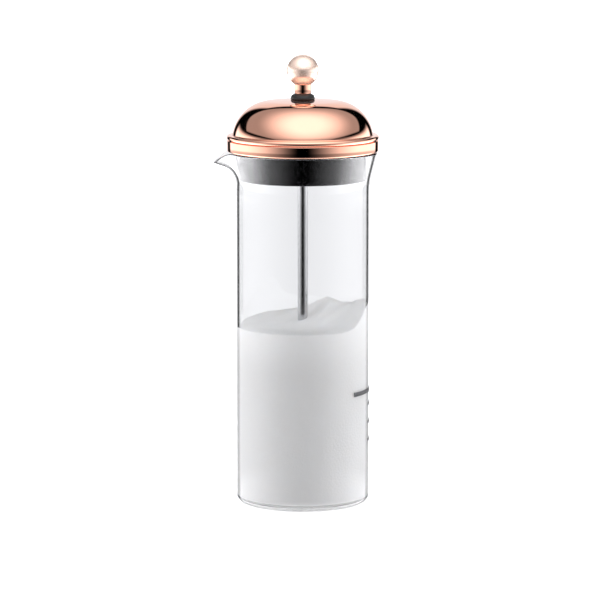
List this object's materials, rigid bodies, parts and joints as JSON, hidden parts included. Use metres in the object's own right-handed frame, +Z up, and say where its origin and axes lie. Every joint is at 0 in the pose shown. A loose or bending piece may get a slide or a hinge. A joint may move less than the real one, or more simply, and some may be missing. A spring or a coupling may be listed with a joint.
{
  "type": "milk frother",
  "caption": "Hand-pumped milk frother: spouted glass beaker, domed copper lid with a plastic skirt, and a ball-knob plunger with a double mesh head.",
  "frame": {"origin": "centre of the beaker's flat base, on the table", "axes": "+Z up along the beaker and rod, spout towards -X, front towards -Y"},
  "size_m": [0.0827, 0.0764, 0.2259],
  "materials": {
    "clear_glass": "clear, fire-polished rim",
    "enamel_print": "fired grey print",
    "copper_plate": "mirror-polished copper plating",
    "black_plastic": "black, semi-gloss moulded",
    "black_rubber": "satin",
    "polished_steel": "polished stainless steel",
    "brushed_steel": "stamped stainless sheet",
    "steel_mesh": "fine woven wire cloth"
  },
  "bodies": {
    "beaker": {"glass_beaker": "clear_glass", "level_mark": "enamel_print", "scale_ticks": "enamel_print"},
    "lid": {"lid_dome": "copper_plate", "lid_insert": "black_plastic", "guide_bush": "black_plastic", "guide_washer": "brushed_steel", "guide_nut": "polished_steel"},
    "plunger": {"plunger_rod": "polished_steel", "knob_ball": "copper_plate", "knob_neck": "copper_plate", "knob_bumper": "black_rubber", "jam_nut": "polished_steel", "upper_washer": "brushed_steel", "spiral_plate": "brushed_steel", "edge_spring": "polished_steel", "upper_mesh": "steel_mesh", "upper_mesh_rim": "brushed_steel", "mesh_spacer": "brushed_steel", "lower_mesh": "steel_mesh", "lower_mesh_rim": "brushed_steel", "cross_plate": "brushed_steel", "lower_washer": "brushed_steel", "head_nut": "polished_steel"}
  },
  "joints": [
    {"name": "lid_lift", "type": "slide", "parent": "beaker", "child": "lid", "axis": [0, 0, 1], "range_m": [0, 0.185]},
    {"name": "plunger_slide", "type": "slide", "parent": "lid", "child": "plunger", "axis": [0, 0, 1], "range_m": [0, 0.145]}
  ]
}
